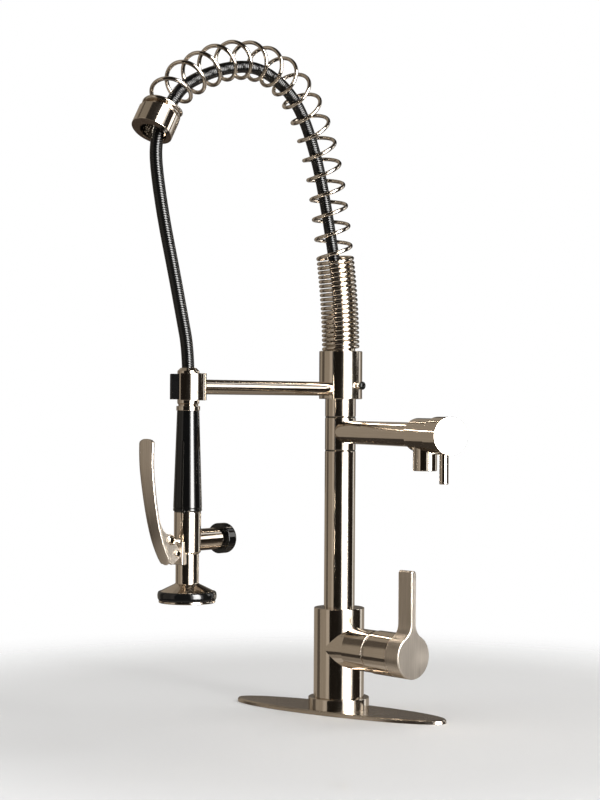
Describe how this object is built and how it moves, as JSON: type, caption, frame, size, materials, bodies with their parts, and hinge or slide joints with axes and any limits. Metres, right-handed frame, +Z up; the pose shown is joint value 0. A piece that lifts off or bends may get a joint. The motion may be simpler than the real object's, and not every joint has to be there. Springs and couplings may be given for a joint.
{
  "type": "spring kitchen faucet",
  "caption": "Tall deck-mounted kitchen faucet with a spring-wrapped hose arch, clipped squeeze-lever spray handset, swivelling pot-filler spout and side mixer lever.",
  "frame": {"origin": "on the column's axis at the top face of the deck that the faucet stands on", "axes": "+Z up the column; the spray arm points along -Y; the deck plate lies roughly along X, with the mixer handle towards +X"},
  "size_m": [0.3534, 0.3377, 0.7646],
  "materials": {
    "nickel": "polished nickel plating",
    "spring_steel": "polished wire",
    "brass": "machined, unplated",
    "steel": "machined",
    "rubber": "smooth, satin",
    "black_gloss": "gloss black",
    "black_matte": "matt black",
    "white_plastic": "moulded",
    "black_hose": "black braided jacket"
  },
  "bodies": {
    "base": {"deck_plate": "nickel", "base_ring": "nickel", "valve_body": "nickel", "trim_ring": "nickel", "pole_lower": "nickel", "pole_upper": "nickel", "shank": "brass", "shank_nut": "brass", "hot_inlet": "brass", "cold_inlet": "brass", "riser_core": "brass", "hose_nipple": "brass", "cartridge_nut": "brass", "shank_washer_steel": "steel", "deck_gasket": "rubber", "shank_washer_rubber": "rubber", "swivel_seals": "rubber", "slip_washers": "black_matte", "cartridge_housing": "white_plastic"},
    "mixer_carrier": {"cartridge_carrier": "white_plastic", "carrier_pin": "steel"},
    "handle": {"handle_hub": "nickel", "handle_lever": "nickel", "cartridge_stem": "steel", "handle_set_screw": "steel"},
    "pot_filler": {"spout_ring": "nickel", "spout_tube": "nickel", "spout_sleeve": "nickel", "spout_valve": "brass", "aerator_housing": "nickel", "aerator_insert": "white_plastic"},
    "pot_filler_knob": {"spout_knob": "nickel", "spout_knob_rod": "nickel"},
    "spray_arm": {"arm_collar": "nickel", "arm_bush": "white_plastic", "arm_rod": "nickel", "arm_clip": "nickel", "clip_liner": "black_matte", "clamp_screw": "black_gloss", "spring_seat": "nickel", "spring": "spring_steel", "spring_bell": "nickel", "hose_arch": "black_hose", "hose_drop": "black_hose"},
    "handset": {"handset_neck": "nickel", "handset_grip": "black_gloss", "handset_tube": "brass", "spray_body": "nickel", "bonnet": "nickel", "bonnet_cap": "black_gloss", "valve_spring": "spring_steel", "nozzle_bell": "nickel", "nozzle_rim": "rubber", "spray_plate": "black_matte", "trigger_pin": "steel"},
    "trigger": {"trigger_lever": "nickel"},
    "plunger": {"plunger_stem": "brass", "plunger_seal": "rubber"}
  },
  "joints": [
    {"name": "handle_temperature", "type": "hinge", "parent": "base", "child": "mixer_carrier", "pos_m": [0, 0, 0.0687], "axis": [0.9877, -0.1564, 0], "range_deg": [-45, 45]},
    {"name": "handle_flow", "type": "hinge", "parent": "mixer_carrier", "child": "handle", "pos_m": [0.04445, -0.00704, 0.0687], "axis": [0.1564, 0.9877, 0], "range_deg": [0, 18]},
    {"name": "pot_filler_swivel", "type": "hinge", "parent": "base", "child": "pot_filler", "pos_m": [0, 0, 0.2943], "axis": [0, 0, 1], "range_deg": [-20, 180]},
    {"name": "pot_filler_valve", "type": "hinge", "parent": "pot_filler", "child": "pot_filler_knob", "pos_m": [0, 0, 0.2943], "axis": [0.9003, -0.4352, 0], "range_deg": [0, 90]},
    {"name": "spray_swivel", "type": "hinge", "parent": "base", "child": "spray_arm", "pos_m": [0, 0, 0.3394], "axis": [0, 0, 1], "range_deg": [-90, 20]},
    {"name": "handset_pull", "type": "slide", "parent": "spray_arm", "child": "handset", "axis": [-0.7071, -0.7071, 0], "range_m": [0, 0.12], "deforming": ["hose_drop"]},
    {"name": "trigger_squeeze", "type": "hinge", "parent": "handset", "child": "trigger", "pos_m": [0, -0.2545, 0.181], "axis": [-1, 0, 0], "range_deg": [0, 16], "stiffness_Nm_per_rad": 0.6, "springref_deg": -8.59},
    {"name": "plunger_push", "type": "slide", "parent": "handset", "child": "plunger", "axis": [0, 1, 0], "range_m": [0, 0.0039], "deforming": ["valve_spring"]}
  ],
  "couplings": [
    {"joint": "plunger_push", "follows": "trigger_squeeze", "m_per_rad": 0.01393}
  ]
}
